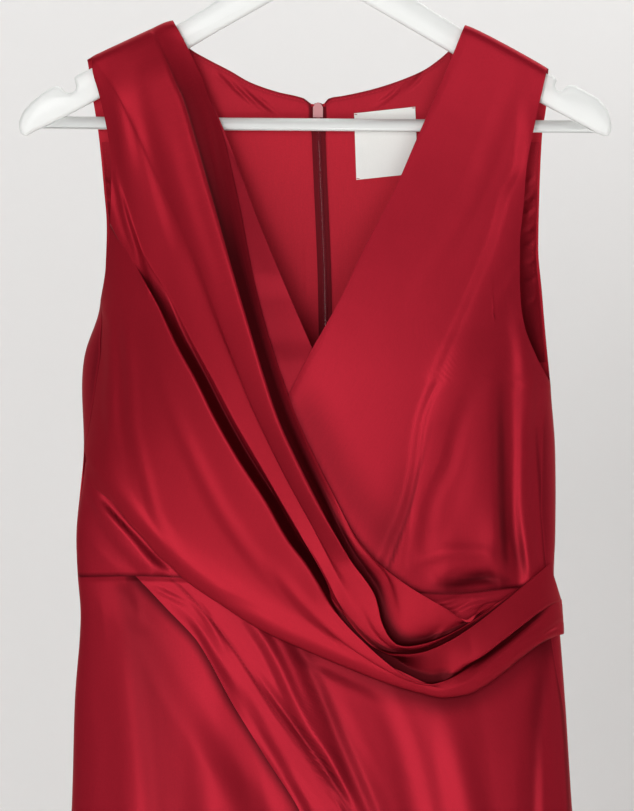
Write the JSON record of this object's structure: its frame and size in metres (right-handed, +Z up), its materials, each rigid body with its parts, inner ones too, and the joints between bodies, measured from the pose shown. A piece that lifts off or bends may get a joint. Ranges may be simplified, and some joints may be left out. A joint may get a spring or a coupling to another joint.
{
  "type": "maxi dress on a clothes hanger",
  "caption": "Sleeveless floor-length satin dress with a deep V neck, a pleated drape across the wrapped front and a wrapped skirt, hung on a flat hanger.",
  "frame": {"origin": "in the crook of the hanger hook, at the middle of its curve", "axes": "+Z up, against the pull of the hanging weight; the dress faces -Y; +X towards the wearer's left side"},
  "size_m": [0.5662, 0.2141, 1.539],
  "materials": {
    "satin": "deep cherry-red satin with a soft sheen",
    "satin_facing": "the same satin, as facings",
    "zip_tape": "dark red woven tape",
    "zip_enamel": "pinkish enamel",
    "woven_label": "bare white satin weave",
    "hanger_gloss": "white, satin gloss",
    "hook_steel": "polished"
  },
  "bodies": {
    "dress_and_hanger": {"front_drape": "satin", "front_bodice_left": "satin", "front_bodice_right": "satin", "skirt_front_left": "satin", "skirt_front_right": "satin", "back_bodice_left": "satin", "back_bodice_right": "satin", "skirt_back_left": "satin", "skirt_back_right": "satin", "neck_facing_left": "satin_facing", "neck_facing_right": "satin_facing", "armhole_facing_left": "satin_facing", "armhole_facing_right": "satin_facing", "zip_tape_left": "zip_tape", "zip_tape_right": "zip_tape", "zip_slider": "zip_enamel", "label": "woven_label", "hanger_arms": "hanger_gloss", "hanger_bar": "hanger_gloss", "hanger_hook": "hook_steel"},
    "zip_pull_tab": {"zip_pull": "zip_enamel"}
  },
  "joints": [
    {"name": "pull_swing", "type": "hinge", "parent": "dress_and_hanger", "child": "zip_pull_tab", "pos_m": [0.0007, 0.01658, -0.198], "axis": [1, 0, 0], "range_deg": [0, 150]}
  ]
}
